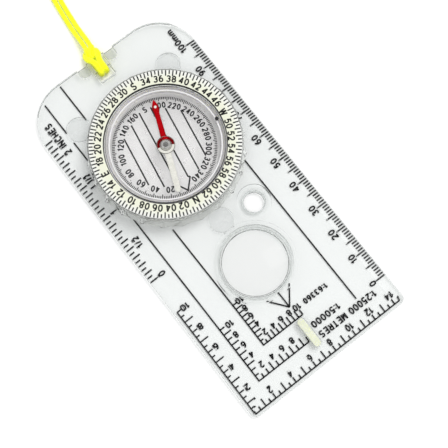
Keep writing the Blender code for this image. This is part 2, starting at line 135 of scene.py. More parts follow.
# Lanyard
CORD_R = 0.8
HITCH_R = 1.02  # the braid fattens where it doubles back
BRAID_PITCH = 1.15
BRAID_DEPTH = 0.08  # as a share of the cord's radius
STRAND_ROUTES = {
    "lanyard_strand_a": [
        (0.30, -66.4, 3.60), (0.00, -69.3, 3.00), (-0.25, -72.8, 1.70), (-0.50, -76.5, 0.95),
        (-0.95, -80.8, 0.85), (-1.35, -84.3, 0.85), (-1.80, -87.7, 0.85), (-2.40, -91.5, 0.85),
        (-2.85, -96.4, 0.85),
    ],
    "lanyard_strand_b": [
        (-1.60, -66.4, 3.60), (-1.90, -69.3, 3.00), (-2.15, -72.8, 1.70), (-2.40, -76.5, 0.95),
        (-2.85, -80.8, 0.85), (-3.25, -84.3, 0.85), (-3.70, -87.7, 0.98), (-3.90, -91.5, 2.00),
        (-2.95, -96.4, 2.80),
    ],
}
COIL_AT = (-14.4, -104.0)
COIL_START_R = 11.5
COIL_INNER_TURN_R = 6.55
TURN_PITCH = 1.65
TIE_TURN = 215.0
TIE_LIFT = 0.6  # how far the turns rise over the tie's wire
TIE_SPREAD = 16.0  # degrees
KNOT_AT = (-27.7, -95.6)
KNOT_TURN = 20.0


# ---------------------------------------------------------------- shapes

TIP_RISE = 0.25  # how far a cut cord's end bulges, as a share of its radius


def add_object(name, builder, finish, smooth=None):
    """Links a new object made from a bmesh in millimetres, with outward faces."""
    bmesh.ops.recalc_face_normals(builder, faces=builder.faces)
    bmesh.ops.scale(builder, vec=(MM, MM, MM), verts=builder.verts)
    mesh = bpy.data.meshes.new(name)
    builder.to_mesh(mesh)
    builder.free()
    obj = bpy.data.objects.new(name, mesh)
    bpy.context.scene.collection.objects.link(obj)
    if finish is not None:
        mesh.materials.append(finish)
    if smooth is not None:
        shade_round(obj, smooth)
    return obj


def shade_round(obj, degrees=35.0):
    obj.data.shade_smooth()
    obj.data.set_sharp_from_angle(angle=math.radians(degrees))
    return obj


def place(obj, at, degrees=0.0):
    obj.location = Vector((at[0], at[1], 0.0)) * MM
    obj.rotation_euler = (0.0, 0.0, math.radians(degrees))
    return obj


def oval(x, y, wide, tall, start, end, steps=14):
    """Points on an ellipse's arc, from its middle and half sizes, in degrees."""
    points = []
    for k in range(steps + 1):
        a = math.radians(start + (end - start) * k / steps)
        points.append((x + wide * math.cos(a), y + tall * math.sin(a)))
    return points


def arc(centre, radius, start, end, steps):
    return oval(*centre, radius, radius, start, end, steps)


def ring_section(inner, outer, low, high):
    """The profile of a plain ring, or of a disc when inner is 0."""
    return [(inner, low), (outer, low), (outer, high), (inner, high)]


def softened(profile, radius, steps=3):
    """A closed outline with its corners rounded, apart from corners on the axis x = 0."""
    made = []
    count = len(profile)
    for i, spot in enumerate(profile):
        here, before, after = Vector(spot), Vector(profile[i - 1]), Vector(profile[(i + 1) % count])
        if here.x == 0:
            made.append(tuple(here))
            continue
        start = here + (before - here).normalized() * min(radius, 0.4 * (before - here).length)
        end = here + (after - here).normalized() * min(radius, 0.4 * (after - here).length)
        for k in range(steps + 1):
            t = k / steps
            made.append(tuple(start.lerp(here, t).lerp(here.lerp(end, t), t)))
    return made


def turned(name, profile, segments, finish=None, sweep=360.0, radius_at=None, smooth=35.0):
    """Turns a closed (radius, height) profile about Z. A sweep under 360 gets flat ends."""
    full = sweep >= 360.0
    builder = bmesh.new()
    count = segments if full else segments + 1
    rings = []
    axis_points = {i: builder.verts.new((0, 0, z)) for i, (r, z) in enumerate(profile) if r == 0}
    for k in range(count):
        angle = math.radians(sweep) * k / segments
        ring = []
        for i, (r, z) in enumerate(profile):
            reach = r if radius_at is None else radius_at(r, z, angle)
            spot = (reach * math.cos(angle), reach * math.sin(angle), z)
            ring.append(axis_points[i] if i in axis_points else builder.verts.new(spot))
        rings.append(ring)
    for k in range(segments):
        here, there = rings[k], rings[(k + 1) % count]
        for i in range(len(profile)):
            j = (i + 1) % len(profile)
            corners = list(dict.fromkeys([here[i], here[j], there[j], there[i]]))
            if len(corners) > 2:
                builder.faces.new(corners)
    if not full:
        builder.faces.new(rings[0])
        builder.faces.new(rings[-1])
    return add_object(name, builder, finish, smooth)


def prism_mesh(outline, bottom, top):
    builder = bmesh.new()
    floor = builder.faces.new([builder.verts.new((x, y, bottom)) for x, y in outline])
    raised = bmesh.ops.extrude_face_region(builder, geom=[floor])
    lifted = [v for v in raised["geom"] if isinstance(v, bmesh.types.BMVert)]
    bmesh.ops.translate(builder, vec=(0, 0, top - bottom), verts=lifted)
    return builder


def soften_edges(builder, width, least, segments=2):
    """Rounds the edges that turn by more than least degrees."""
    bmesh.ops.recalc_face_normals(builder, faces=builder.faces)
    sharp = [
        e for e in builder.edges
        if len(e.link_faces) == 2 and e.calc_face_angle() > math.radians(least)
    ]
    bmesh.ops.bevel(
        builder, geom=sharp, offset=width, segments=segments, profile=0.5,
        affect="EDGES", clamp_overlap=True,
    )


def prism(name, outline, bottom, top, finish=None, soft=0.0, smooth=None):
    builder = prism_mesh(outline, bottom, top)
    if soft:
        soften_edges(builder, soft, 45.0)
    return add_object(name, builder, finish, smooth)


def block(name, low, high, finish=None):
    outline = [(low[0], low[1]), (high[0], low[1]), (high[0], high[1]), (low[0], high[1])]
    return prism(name, outline, low[2], high[2], finish)


def rounded_box_outline(low, high, radius, steps=6, rear=None):
    """A rectangle with rounded corners. rear is a radius and steps for the corners at low Y."""
    wide, rear_steps = rear or (radius, steps)
    return (
        arc((high[0] - radius, high[1] - radius), radius, 0, 90, steps)
        + arc((low[0] + radius, high[1] - radius), radius, 90, 180, steps)
        + arc((low[0] + wide, low[1] + wide), wide, 180, 270, rear_steps)
        + arc((high[0] - wide, low[1] + wide), wide, 270, 360, rear_steps)
    )


def combine(body, steps):
    """Joins helpers to the body or cuts them out of it, then removes them."""
    for operation, helper in steps:
        modifier = body.modifiers.new(helper.name, "BOOLEAN")
        modifier.operation = operation
        modifier.solver = "EXACT"
        modifier.object = helper
    bpy.context.view_layer.update()
    depsgraph = bpy.context.evaluated_depsgraph_get()
    made = bpy.data.meshes.new_from_object(body.evaluated_get(depsgraph), depsgraph=depsgraph)
    body.modifiers.clear()
    body.data = made
    for operation, helper in steps:
        bpy.data.objects.remove(helper, do_unlink=True)
    return body


def smooth_route(route, step):
    """Points about a step apart along a Catmull-Rom curve through the route's points."""
    points = [Vector(p) for p in route]
    padded = [2 * points[0] - points[1]] + points + [2 * points[-1] - points[-2]]
    fine = []
    for a, b, c, d in zip(padded, padded[1:], padded[2:], padded[3:]):
        for k in range(12):
            t = k / 12
            fine.append(
                0.5 * (2 * b + (c - a) * t + (2 * a - 5 * b + 4 * c - d) * t**2
                       + (3 * b - a - 3 * c + d) * t**3)
            )
    fine.append(points[-1])
    spans = [(q - p).length for p, q in zip(fine, fine[1:])]
    pieces = max(2, round(sum(spans) / step))
    made, walked, target = [fine[0]], 0.0, sum(spans) / pieces
    for p, q, span in zip(fine, fine[1:], spans):
        while walked + span >= target * len(made) and len(made) < pieces:
            made.append(p.lerp(q, (target * len(made) - walked) / span))
        walked += span
    return made + [fine[-1]]


def skin(builder, sections, closed):
    """Quads between neighbouring sections, and from the last to the first when closed."""
    pairs = list(zip(sections, sections[1:]))
    if closed:
        pairs.append((sections[-1], sections[0]))
    for here, there in pairs:
        for k in range(len(here)):
            j = (k + 1) % len(here)
            builder.faces.new((here[k], here[j], there[j], there[k]))


def tube(name, route, radius, finish, step=0.25, sides=24, relief=None, closed=False):
    """A round tube along a smooth route. relief(distance, angle) gives the share of its radius."""
    line = smooth_route(route, step)
    if closed:
        line = line[:-1]
    count = len(line)
    builder = bmesh.new()
    rings = []
    side = (line[1] - line[0]).normalized().orthogonal().normalized()
    walked = 0.0
    for i, spot in enumerate(line):
        if closed:
            heading = (line[(i + 1) % count] - line[i - 1]).normalized()
        else:
            heading = (line[min(i + 1, count - 1)] - line[max(i - 1, 0)]).normalized()
        side = (side - heading * side.dot(heading)).normalized()
        up = heading.cross(side)
        if i:
            walked += (spot - line[i - 1]).length
        ring = []
        for k in range(sides):
            a = math.tau * k / sides
            reach = radius * (relief(walked, a) if relief else 1.0)
            ring.append(builder.verts.new(spot + (side * math.cos(a) + up * math.sin(a)) * reach))
        rings.append(ring)
    skin(builder, rings, closed)
    if not closed:
        for end, inner in ((0, 1), (-1, -2)):
            out = (line[end] - line[inner]).normalized()
            tip = builder.verts.new(line[end] + out * radius * TIP_RISE)
            for k in range(sides):
                builder.faces.new((rings[end][k], rings[end][(k + 1) % sides], tip))
    return add_object(name, builder, finish, 80.0)


def braid(distance, angle):
    """Relief of a round braid: two families of carriers crossing."""
    along = math.pi * distance / BRAID_PITCH
    around = 3.0 * angle
    crossing = 0.5 * (abs(math.sin(along + around)) + abs(math.sin(along - around)))
    return 1.0 - BRAID_DEPTH + BRAID_DEPTH * crossing


def split_by_face(obj, finish, chosen):
    """Gives the faces that chosen(face) picks a second material."""
    obj.data.materials.append(finish)
    index = len(obj.data.materials) - 1
    for face in obj.data.polygons:
        if chosen(face):
            face.material_index = index


# ---------------------------------------------------------------- print

INK_THICK = 0.04
SCALE_PEN = 0.5
LINE_PEN = 0.46  # roamers and single lines
SCALE_TALL = 2.4  # height of the scales' numbers
SIGN_GAP = 1.55  # between two signs' pen lines, in pen widths
LONGEST_MITRE = 1.9


def turned_over(width, strokes):
    return [[(width - x, 1 - y) for x, y in line] for line in strokes]


SIX = [oval(0.28, 0.31, 0.27, 0.31, 0, 360, 20), oval(0.34, 0.33, 0.33, 0.67, 178, 72)]
# Each sign: its width, then the pen's strokes, on a line of unit height.
SIGNS = {
    "0": (0.56, [oval(0.28, 0.5, 0.28, 0.5, 0, 360, 24)]),
    "1": (0.34, [[(0.04, 0.76), (0.32, 1), (0.32, 0)]]),
    "2": (0.56, [oval(0.28, 0.72, 0.27, 0.28, 165, -38) + [(0, 0), (0.56, 0)]]),
    "3": (0.56, [
        oval(0.27, 0.75, 0.25, 0.25, 155, -75) + oval(0.27, 0.27, 0.28, 0.27, 75, -155)]),
    "4": (0.58, [[(0.43, 0), (0.43, 1), (0, 0.27), (0.58, 0.27)]]),
    "5": (0.56, [[(0.52, 1), (0.12, 1), (0.05, 0.52)] + oval(0.27, 0.33, 0.28, 0.32, 130, -150)]),
    "6": (0.56, SIX),
    "7": (0.55, [[(0, 1), (0.55, 1), (0.18, 0)]]),
    "8": (0.56, [oval(0.28, 0.76, 0.23, 0.24, 0, 360, 20), oval(0.28, 0.26, 0.28, 0.26, 0, 360, 20)]),
    "9": (0.56, turned_over(0.56, SIX)),
    "N": (0.62, [[(0, 0), (0, 1), (0.62, 0), (0.62, 1)]]),
    "E": (0.54, [[(0.53, 1), (0, 1), (0, 0), (0.54, 0)], [(0, 0.52), (0.48, 0.52)]]),
    "S": (0.58, [oval(0.29, 0.75, 0.26, 0.25, 30, 265) + oval(0.29, 0.26, 0.29, 0.26, 80, -150)]),
    "W": (0.84, [[(0, 1), (0.21, 0), (0.42, 0.95), (0.63, 0), (0.84, 1)]]),
    "M": (0.68, [[(0, 0), (0, 1), (0.34, 0.12), (0.68, 1), (0.68, 0)]]),
    "T": (0.58, [[(0, 1), (0.58, 1)], [(0.29, 1), (0.29, 0)]]),
    "R": (0.56, [
        [(0, 0), (0, 1), (0.3, 1)] + oval(0.3, 0.76, 0.23, 0.24, 80, -80)
        + [(0.3, 0.52), (0, 0.52)],
        [(0.28, 0.52), (0.56, 0)]]),
    "I": (0, [[(0, 0), (0, 1)]]),
    "C": (0.58, [oval(0.32, 0.5, 0.32, 0.5, 42, 318, 18)]),
    "H": (0.58, [[(0, 0), (0, 1)], [(0.58, 0), (0.58, 1)], [(0, 0.5), (0.58, 0.5)]]),
    "m": (0.8, [
        [(0, 0), (0, 0.72)], [(0, 0.45)] + oval(0.2, 0.52, 0.2, 0.2, 150, 0, 8) + [(0.4, 0)],
        [(0.4, 0.45)] + oval(0.6, 0.52, 0.2, 0.2, 150, 0, 8) + [(0.8, 0)]]),
    ":": (0, [[(0, 0), (0, 0.2)], [(0, 0.55), (0, 0.75)]]),
    "/": (0.3, [[(0, 0), (0.3, 1)]]),
    " ": (0.2, []),
}


def pen_runs(line, pen):
    """Cuts a pen line where it turns back sharply, so both runs reach a little past the corner."""
    sharp, past = math.radians(95), 0.3 * pen
    spots = [Vector(p) for p in line]
    runs, run = [], [spots[0]]
    for before, here, after in zip(spots, spots[1:], spots[2:]):
        into, onward = (here - before).normalized(), (after - here).normalized()
        if into.angle(onward) > sharp:
            runs.append(run + [here + into * past])
            run = [here - onward * past]
        else:
            run.append(here)
    return runs + [run + [spots[-1]]]


def ribbon(builder, line, pen):
    """A flat pen stroke along a line, mitred at its corners, as a thin closed solid."""
    spots = [Vector(p) for p in line]
    closed = (spots[0] - spots[-1]).length < 1e-6
    if closed:
        spots = spots[:-1]
    count = len(spots)
    sections = []
    for i, spot in enumerate(spots):
        before = spots[i - 1] if closed or i else None
        after = spots[(i + 1) % count] if closed or i + 1 < count else None
        into = (spot - before).normalized() if before is not None else (after - spot).normalized()
        onward = (after - spot).normalized() if after is not None else into
        across = Vector((-(into.y + onward.y), into.x + onward.x)).normalized()
        slant = max(0.3, across.dot(Vector((-into.y, into.x))))
        offset = across * pen / 2 * min(LONGEST_MITRE, 1.0 / slant)
        section = []
        for side, z in ((1, 0.0), (-1, 0.0), (-1, INK_THICK), (1, INK_THICK)):
            point = spot + side * offset
            section.append(builder.verts.new((point.x, point.y, z)))
        sections.append(section)
    if not closed:
        builder.faces.new(sections[0])
        builder.faces.new(sections[-1])
    skin(builder, sections, closed)


def sign_starts(text, gap):
    """Where each sign of a text starts, and how wide the whole text is."""
    starts, reach = [], 0.0
    for sign in text:
        starts.append(reach)
        reach += SIGNS[sign][0] + gap
    return starts, reach - gap


def letter(builder, text, at, turn, height, width=None, pen=0.47, stretch=1.0):
    """Adds a label centred on a point. Turn is its reading direction from +X."""
    tall = height - pen
    wide = tall * stretch
    between = pen * SIGN_GAP
    gap = between / wide
    starts, natural = sign_starts(text, gap)
    if width is not None:
        gaps = len(text) - 1
        wide = (width - pen - gaps * between) / (natural - gaps * gap)
        starts, natural = sign_starts(text, between / wide)
    a = math.radians(turn)
    cos, sin = math.cos(a), math.sin(a)
    for sign, start in zip(text, starts):
        for line in SIGNS[sign][1]:
            made = []
            for x, y in line:
                x, y = (start + x - natural / 2) * wide, (y - 0.5) * tall
                made.append((at[0] + x * cos - y * sin, at[1] + x * sin + y * cos))
            for run in pen_runs(made, pen):
                ribbon(builder, run, pen)


def print_mm_scale(builder):
    outer, zero, label_x = -30.2, 52.05, -25.55
    for k in range(101):
        y = zero - k
        reach = 3.3 if k % 5 == 0 else 2.1
        ribbon(builder, ((outer, y), (outer + reach, y)), SCALE_PEN)
    for k in range(0, 100, 10):
        letter(builder, str(k), (label_x, zero - k), -90, SCALE_TALL)
    letter(builder, "100", (label_x, -48.7), -90, SCALE_TALL, width=4.9)
    letter(builder, "mm", (label_x - 0.1, -53.5), -90, SCALE_TALL, width=4.4)


def print_inch_scale(builder):
    outer, zero, sixteenth, label_x = 29.87, 8.47, 25.4 / 16, 25.5
    for k in range(37):
        y = zero - k * sixteenth
        reach = 1.8 if k % 2 else 2.85
        ribbon(builder, ((outer, y), (outer - reach, y)), SCALE_PEN)
    letter(builder, "0", (label_x, 8.3), -90, SCALE_TALL)
    letter(builder, "1/2", (label_x, -4.5), -90, 2.2, width=4.0)
    letter(builder, "1", (label_x, -16.95), -90, SCALE_TALL)
    letter(builder, "1 1/2", (label_x + 0.1, -29.95), -90, 2.3, width=5.2)
    letter(builder, "2 INCHES", (label_x, -47.75), -90, SCALE_TALL, width=12.4)


def print_roamer(builder, corner, unit, arms, ticks, halves=None):
    """Two arms from a corner, along -X and -Y, with a tick at each unit and half unit."""
    x0, y0 = corner
    units_x, units_y = arms
    odd, even = ticks
    ribbon(builder, ((x0 + LINE_PEN / 2, y0), (x0 - units_x * unit, y0)), LINE_PEN)
    ribbon(builder, (corner, (x0, y0 - units_y * unit)), LINE_PEN)
    per_unit = 2 if halves else 1
    for along, units in ((Vector((-1, 0)), units_x), (Vector((0, -1)), units_y)):
        inward = Vector((along.y, along.x))
        for k in range(1, int(units * per_unit) + 1):
            from_corner = k * unit / per_unit
            if k % per_unit:
                reach = halves
            else:
                reach = odd if (k // per_unit) % 2 else even
            # Near the corner a tick stays clear of the other arm's ticks.
            reach = min(reach, 0.7 * from_corner)
            foot = Vector(corner) + along * from_corner
            ribbon(builder, (foot, foot + inward * reach), LINE_PEN)


def print_roamers(builder):
    """Three nested roamers, their numbers and the names of their scales."""
    corner, unit = (29.0, 61.2), 4.0
    print_roamer(builder, corner, unit, (14.5, 10), (2.9, 1.9), halves=1.35)
    print_roamer(builder, (22.0, 54.0), 2.0, (10, 10), (2.8, 1.75))
    print_roamer(builder, (13.96, 46.07), 1.578, (10, 10), (2.6, 1.85))
    labels = [(str(n), (corner[0] - unit * n, 58.0)) for n in range(2, 15, 2)]
    labels += [(str(n), (26.0, corner[1] - unit * n)) for n in range(2, 11, 2)]
    labels += [
        ("2", (18.2, 50.4)), ("4", (14.1, 50.4)), ("6", (10.1, 50.4)), ("8", (6.1, 50.4)),
        ("4", (18.84, 46.0)), ("6", (18.84, 42.1)), ("8", (18.84, 38.1)), ("10", (18.3, 34.2)),
        ("2", (11.0, 43.05)), ("4", (7.8, 43.05)), ("6", (4.6, 43.05)), ("8", (1.35, 43.05)),
        ("10", (-1.8, 43.05)), ("4", (11.4, 39.5)), ("6", (11.4, 36.4)), ("8", (11.4, 33.3)),
        ("10", (11.2, 30.1)),
    ]
    for text, at in labels:
        letter(builder, text, at, 0, 2.25, pen=LINE_PEN)
    for text, at, tall, width in (
        ("1:25000 METRES", (-13.3, 54.6), 2.45, 22.6), ("1:50000", (-7.45, 50.7), 2.35, 11.1),
        ("1:63360", (-9.2, 43.2), 2.0, 9.4),
    ):
        letter(builder, text, at, 0, tall, width=width, pen=LINE_PEN)


def print_lines(builder):
    for ends in (
        ((22.0, 34.0), (22.25, -43.7)), ((22.27, -47.7), (22.3, -59.8)),
        ((13.96, 30.3), (14.2, -0.9)), ((14.45, -47.5), (14.5, -62.0)),
        ((-18.3, 52.6), (-18.3, -5.8)),
        ((0.03, 35.6), (0.03, 41.7)), ((4.7, 35.8), (0.03, 41.7)), ((-4.6, 35.7), (0.03, 41.7)),
    ):
        ribbon(builder, ends, LINE_PEN)


def dial_spot(degrees, radius):
    """A point on the dial, clockwise from its north mark."""
    a = math.radians(degrees)
    return Vector((radius * math.sin(a), radius * math.cos(a)))


def print_mil_ring(builder):
    ticks, tick_pen = 128, 0.4
    outer, long_in, short_in = 24.3, 22.4, 23.05
    for k in range(ticks):
        turn = 360.0 * k / ticks
        inner = short_in if k % 2 else long_in
        ribbon(builder, (dial_spot(turn, inner), dial_spot(turn, outer)), tick_pen)
    middle = Vector((0.18, -0.27))
    hundreds = 64
    names = {0: "N", 16: "E", 32: "S", 48: "W"}
    for n in range(0, hundreds, 2):
        turn = 360.0 * n / hundreds
        text, radius, tall, pen = f"{n:02d}", 21.25, 2.35, 0.45
        if n in names:
            text, radius, tall, pen = names[n], 21.15, 2.6, 0.48
        letter(builder, text, middle + dial_spot(turn, radius), -turn, tall, pen=pen)


def print_degree_ring(builder):
    outer, long_in, short_in, label_r = 16.8, 15.55, 15.95, 14.05
    middle, tick_pen = Vector(DIAL_PRINT_SHIFT), 0.28
    for turn in range(0, 360, 2):
        inner = long_in if turn % 10 == 0 else short_in
        ends = (middle + dial_spot(turn, inner), middle + dial_spot(turn, outer))
        ribbon(builder, ends, tick_pen)
    for turn in range(20, 360, 20):
        text = "S" if turn == 180 else str(turn)
        letter(builder, text, middle + dial_spot(turn, label_r), -turn, 2.05, stretch=0.92, pen=0.41)


def print_meridians(builder):
    """Lines along the capsule's floor. The middle two lead into the north arrow."""
    pen, shift = 0.48, DIAL_PRINT_SHIFT[0]
    arm_x, arm_end, tip = 2.05, 12.3, 16.14
    for side in (1, -1):
        for x, low, high in ((10.25, -8.4, 8.8), (6.15, -11.3, 11.7), (arm_x, -13.8, arm_end)):
            ribbon(builder, ((side * x + shift, low), (side * x + shift, high)), pen)
        barb = (side * 2.7 + shift, 12.4)
        ribbon(builder, ((side * arm_x + shift, arm_end), barb), pen)
        ribbon(builder, (barb, (shift, tip)), pen)


def printed(name, ink, level, *painters):
    """One layer of print whose underside lies at a level."""
    builder = bmesh.new()
    for painter in painters:
        painter(builder)
    bmesh.ops.translate(builder, vec=(0, 0, level), verts=builder.verts)
    return add_object(name, builder, ink)


# ---------------------------------------------------------------- materials


def new_material(name):
    made = bpy.data.materials.new(name)
    made.use_nodes = True
    tree = made.node_tree
    shader = tree.nodes["Principled BSDF"]
    return made, tree, shader


def set_inputs(node, values):
    for name, value in values.items():
        node.inputs[name].default_value = value


def own_coordinates(tree):
    """The object's own coordinates, in metres."""
    return tree.nodes.new("ShaderNodeTexCoord").outputs["Object"]


def noise_node(tree, scale, detail=4.0):
    """Noise over the object's own coordinates. The scale is in cycles per metre."""
    noise = tree.nodes.new("ShaderNodeTexNoise")
    set_inputs(noise, {"Scale": scale, "Detail": detail})
    tree.links.new(own_coordinates(tree), noise.inputs["Vector"])
    return noise.outputs["Fac"]


def ramp_node(tree, source, stops):
    """Turns a value into a colour. Each stop is a position and a colour."""
    ramp = tree.nodes.new("ShaderNodeValToRGB")
    elements = ramp.color_ramp.elements
    elements[0].position, elements[0].color = stops[0][0], (*stops[0][1], 1.0)
    elements[1].position, elements[1].color = stops[-1][0], (*stops[-1][1], 1.0)
    for position, colour in stops[1:-1]:
        elements.new(position).color = (*colour, 1.0)
    tree.links.new(source, ramp.inputs["Fac"])
    return ramp.outputs["Color"]


def add_colour(tree, shader, source, stops):
    tone = ramp_node(tree, source, stops)
    tree.links.new(tone, shader.inputs["Base Color"])
    return tone


def range_node(tree, source, low, high, floor=0.3, ceiling=0.7):
    """Maps values from floor to ceiling onto a range."""
    node = tree.nodes.new("ShaderNodeMapRange")
    set_inputs(node, {"From Min": floor, "From Max": ceiling, "To Min": low, "To Max": high})
    tree.links.new(source, node.inputs["Value"])
    return node.outputs["Result"]


def add_roughness(tree, shader, source, low, high):
    tree.links.new(range_node(tree, source, low, high), shader.inputs["Roughness"])


def add_bump(tree, shader, source, distance, strength):
    bump = tree.nodes.new("ShaderNodeBump")
    set_inputs(bump, {"Distance": distance * MM, "Strength": strength})
    tree.links.new(source, bump.inputs["Height"])
    tree.links.new(bump.outputs["Normal"], shader.inputs["Normal"])


def greys(*values):
    return [(value, value, value) for value in values]


def clear_material(name, tint, shade, rough=(0.01, 0.05), ior=1.49, wave=0.15, weight=1.0):
    """Clear moulded plastic: faint ripple and handling haze.

    Light on its way to a lamp or the sky passes straight through, dimmed to shade at each face.
    """
    haze_scale, ripple_scale = 240.0, 60.0
    made, tree, shader = new_material(name)
    set_inputs(shader, {"Base Color": (*tint, 1.0), "Transmission Weight": weight, "IOR": ior})
    add_roughness(tree, shader, noise_node(tree, haze_scale, 6.0), *rough)
    add_bump(tree, shader, noise_node(tree, ripple_scale, 2.0), wave, 0.25)
    through = tree.nodes.new("ShaderNodeBsdfTransparent")
    set_inputs(through, {"Color": (*shade, 1.0)})
    path = tree.nodes.new("ShaderNodeLightPath")
    surface = shader.outputs["BSDF"]
    for kind in ("Is Diffuse Ray", "Is Shadow Ray"):
        mix = tree.nodes.new("ShaderNodeMixShader")
        tree.links.new(path.outputs[kind], mix.inputs["Fac"])
        tree.links.new(surface, mix.inputs[1])
        tree.links.new(through.outputs["BSDF"], mix.inputs[2])
        surface = mix.outputs["Shader"]
    tree.links.new(surface, tree.nodes["Material Output"].inputs["Surface"])
    return made


def mottled(name, colours, rough, scale, metallic=0.0, coat=0.0, below=0.0):
    """An opaque finish whose colour drifts between two tones over fine noise."""
    made, tree, shader = new_material(name)
    noise = noise_node(tree, scale, 6.0)
    add_colour(tree, shader, noise, [(0.35, colours[0]), (0.65, colours[1])])
    add_roughness(tree, shader, noise, *rough)
    set_inputs(shader, {"Metallic": metallic, "Coat Weight": coat})
    if below:
        set_inputs(shader, {
            "Subsurface Weight": below, "Subsurface Radius": (1.0, 1.0, 0.6),
            "Subsurface Scale": 0.4 * MM,
        })
    add_bump(tree, shader, noise_node(tree, scale * 3, 3.0), 0.02, 0.4)
    return made


def needle_red(name):
    """Red enamel, with painted shade that darkens it towards the blade's long edges."""
    made, tree, shader = new_material(name)
    split = tree.nodes.new("ShaderNodeSeparateXYZ")
    tree.links.new(own_coordinates(tree), split.inputs["Vector"])
    size = tree.nodes.new("ShaderNodeMath")
    size.operation = "ABSOLUTE"
    tree.links.new(split.outputs["X"], size.inputs[0])
    # Painted shade: the red darkens with the distance from the blade's middle line, towards its edges.
    edge = range_node(tree, size.outputs["Value"], 0.0, 1.0, 0.0, 1.1 * MM)
    add_colour(tree, shader, edge, [
        (0.0, (0.40, 0.0, 0.003)), (0.55, (0.36, 0.0, 0.003)), (0.95, (0.14, 0.0, 0.001)),
    ])
    noise = noise_node(tree, 900.0)
    add_roughness(tree, shader, noise, 0.25, 0.4)
    set_inputs(shader, {"Specular IOR Level": 0.15})
    add_bump(tree, shader, noise, 0.01, 0.3)
    return made


def band_material(name):
    """Luminous plastic, yellow-green under the numbers and paler under the tick marks."""
    made, tree, shader = new_material(name)
    flat = tree.nodes.new("ShaderNodeMapping")
    set_inputs(flat, {"Scale": (1.0, 1.0, 0.0)})
    tree.links.new(own_coordinates(tree), flat.inputs["Vector"])
    radius = tree.nodes.new("ShaderNodeVectorMath")
    radius.operation = "LENGTH"
    tree.links.new(flat.outputs["Vector"], radius.inputs[0])
    noise = noise_node(tree, 700.0, 6.0)
    total = tree.nodes.new("ShaderNodeMath")
    share = range_node(tree, radius.outputs["Value"], 0.0, 1.0, 19.6 * MM, 24.4 * MM)
    tree.links.new(share, total.inputs[0])
    tree.links.new(range_node(tree, noise, -0.05, 0.05), total.inputs[1])
    add_colour(tree, shader, total.outputs["Value"], [
        (0.0, (0.77, 0.78, 0.68)), (0.15, (0.75, 0.765, 0.62)), (0.5, (0.76, 0.77, 0.64)),
        (0.78, (0.78, 0.79, 0.73)), (1.0, (0.79, 0.795, 0.77)),
    ])
    add_roughness(tree, shader, noise, 0.35, 0.5)
    add_bump(tree, shader, noise, 0.02, 0.4)
    return made


def cord_material(name):
    """Fluorescent braided cord: bright yellow with fibre-scale streaks, a soft sheen and a faint painted
    glow.
    """
    made, tree, shader = new_material(name)
    noise = noise_node(tree, 2600.0, 5.0)
    tone = add_colour(tree, shader, noise, [
        (0.3, (0.72, 0.80, 0.0)), (0.5, (0.93, 0.98, 0.01)), (0.7, (0.99, 1.0, 0.05)),
    ])
    # Painted glow: the cord emits a little of its own yellow, standing in for its fluorescence under the
    # lamps.
    tree.links.new(tone, shader.inputs["Emission Color"])
    set_inputs(shader, {"Emission Strength": 0.12, "Roughness": 0.75, "Sheen Weight": 0.3})
    add_bump(tree, shader, noise, 0.12, 0.6)
    return made


# ---------------------------------------------------------------- pieces


def slice_edge(builder, point, normal):
    """Cuts away what lies past a plane and closes the cut."""
    everything = builder.verts[:] + builder.edges[:] + builder.faces[:]
    result = bmesh.ops.bisect_plane(
        builder, geom=everything, plane_co=point, plane_no=normal, clear_outer=True, dist=1e-5
    )
    rim = [e for e in result["geom_cut"] if isinstance(e, bmesh.types.BMEdge)]
    bmesh.ops.contextual_create(builder, geom=rim)


def plate_slab(finish):
    """The plate with sloped ruling edges and slightly rounded corners."""
    x, y = PLATE_X, PLATE_Y
    outline = rounded_box_outline((-x, -y), (x, y), TRAVEL_CORNER, 10, (CORD_CORNER, 40))
    builder = prism_mesh(outline, PLATE_BOTTOM, PLATE_TOP)
    drop = PLATE_TOP - PLATE_BOTTOM - RIM_THICK
    for side in (1, -1):
        slice_edge(builder, (side * (x - SIDE_SLOPE), 0, PLATE_TOP), (side * drop, 0, SIDE_SLOPE))
    slice_edge(builder, (0, y - FRONT_SLOPE, PLATE_TOP), (0, drop, FRONT_SLOPE))
    soften_edges(builder, 0.22, 40.0, 3)
    return add_object("plate_clear", builder, finish)


